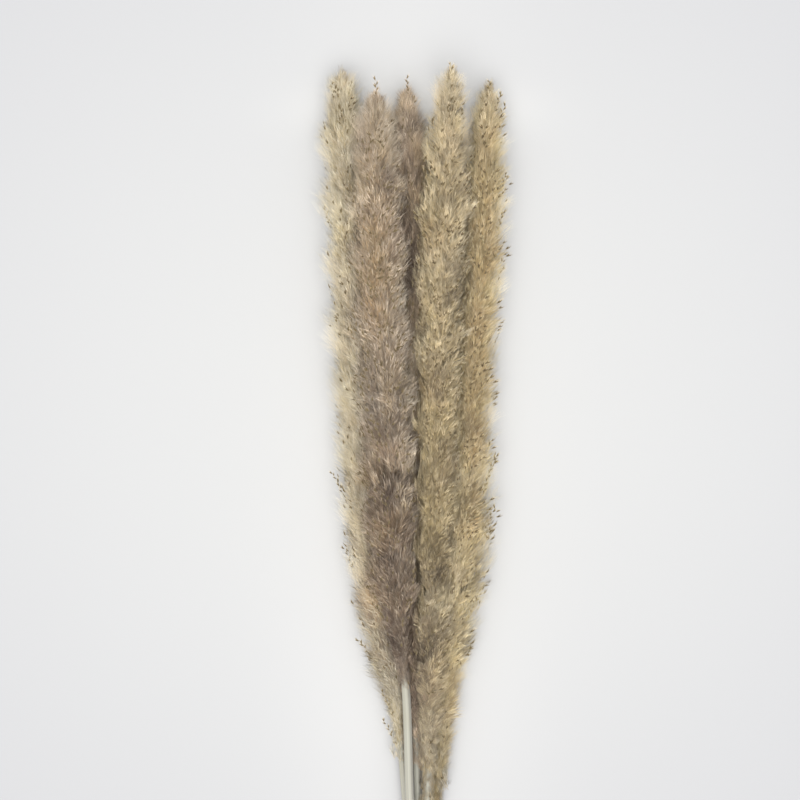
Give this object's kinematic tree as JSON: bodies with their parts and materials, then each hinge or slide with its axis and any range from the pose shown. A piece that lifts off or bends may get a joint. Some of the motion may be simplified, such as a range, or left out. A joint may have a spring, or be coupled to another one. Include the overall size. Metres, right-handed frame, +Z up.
{
  "type": "dried pampas grass bunch",
  "caption": "Bunch of dried pampas grass lying down: slim feathery plumes on bare cut stems, held by a wound rubber band.",
  "frame": {"origin": "on the table, under the middle of the bunch's box", "axes": "+Y from the cut stem ends to the plume tips, +X to the right seen from above with the tips up, +Z up off the table"},
  "size_m": [0.1381, 0.7, 0.0517],
  "materials": {
    "culm": "dry reed culm, pale cream with fine lengthwise ribs and a satin sheen",
    "plume_outer_left": "dry silky seed hairs with papery husks, yellowish beige, matt with a soft sheen",
    "plume_inner_left": "dry silky seed hairs with papery husks, mauve taupe, matt with a soft sheen",
    "plume_middle": "dry silky seed hairs with papery husks, grey brown, matt with a soft sheen",
    "plume_inner_right": "dry silky seed hairs with papery husks, light straw beige, matt with a soft sheen",
    "plume_outer_right": "dry silky seed hairs with papery husks, golden tan, matt with a soft sheen",
    "band": "plain natural rubber, amber tan, slightly shiny"
  },
  "bodies": {
    "root": {"culm_outer_left": "culm", "culm_inner_left": "culm", "culm_middle": "culm", "culm_inner_right": "culm", "culm_outer_right": "culm", "plume_outer_left": "plume_outer_left", "plume_inner_left": "plume_inner_left", "plume_middle": "plume_middle", "plume_inner_right": "plume_inner_right", "plume_outer_right": "plume_outer_right", "rubber_band": "band"}
  },
  "joints": []
}
